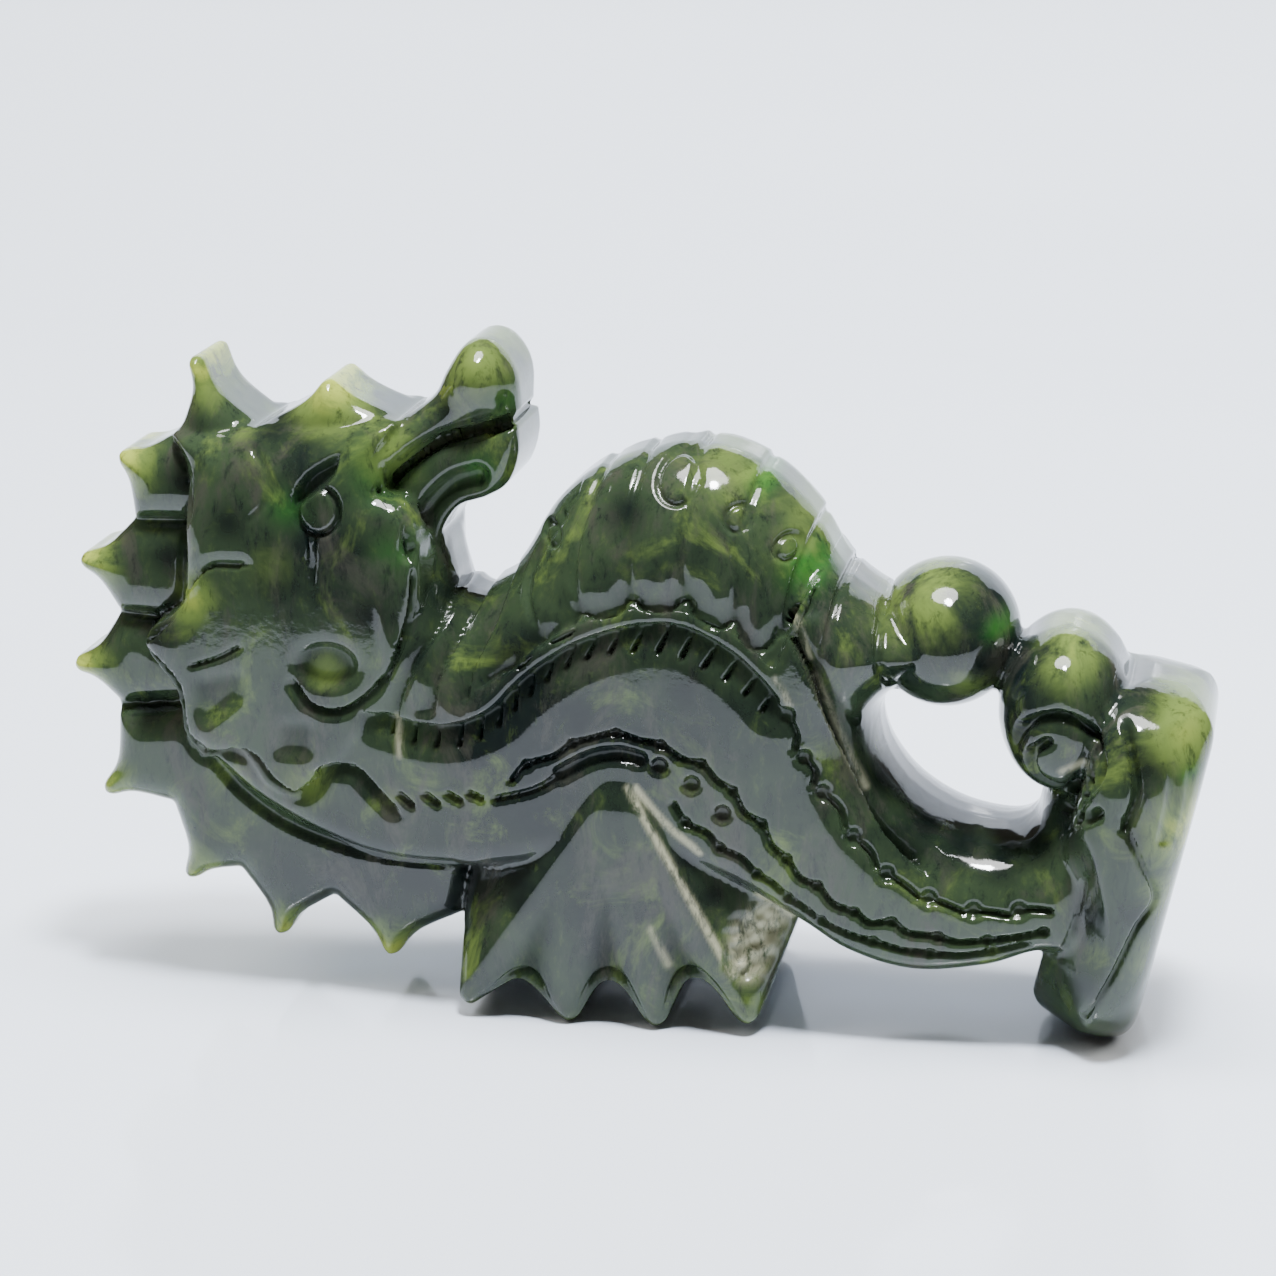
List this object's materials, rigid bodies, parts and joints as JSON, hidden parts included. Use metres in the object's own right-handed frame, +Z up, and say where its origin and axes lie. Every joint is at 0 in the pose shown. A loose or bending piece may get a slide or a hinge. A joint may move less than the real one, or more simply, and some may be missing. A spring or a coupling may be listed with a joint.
{
  "type": "seahorse figurine",
  "caption": "Polished dark green jade carving of a seahorse with a spiked mane, a fan fin, a curled tail and an oval plinth, lying on its back.",
  "frame": {"origin": "under the middle of the figurine's box, on the surface that it lies on", "axes": "+X from the mane to the plinth, +Z up as the figurine lies on its fan fin and its plinth's lower end, Y through the slab's depth, with the carving the same on both faces"},
  "size_m": [0.0978, 0.024, 0.0573],
  "materials": {
    "jade": "polished",
    "eye_jade": "polished"
  },
  "bodies": {
    "root": {"plinth": "jade", "tail": "jade", "tail_coil": "jade", "tail_bead": "jade", "trunk": "jade", "belly": "jade", "dorsal_fin": "jade", "head": "jade", "eye_front": "eye_jade", "eye_back": "eye_jade", "snout": "jade", "lower_jaw": "jade", "mane_spike_1": "jade", "mane_spike_2": "jade", "mane_spike_3": "jade", "mane_spike_4": "jade", "mane_spike_5": "jade", "mane_spike_6": "jade", "mane_spike_7": "jade", "mane_spike_8": "jade", "mane_spike_9": "jade"}
  },
  "joints": []
}
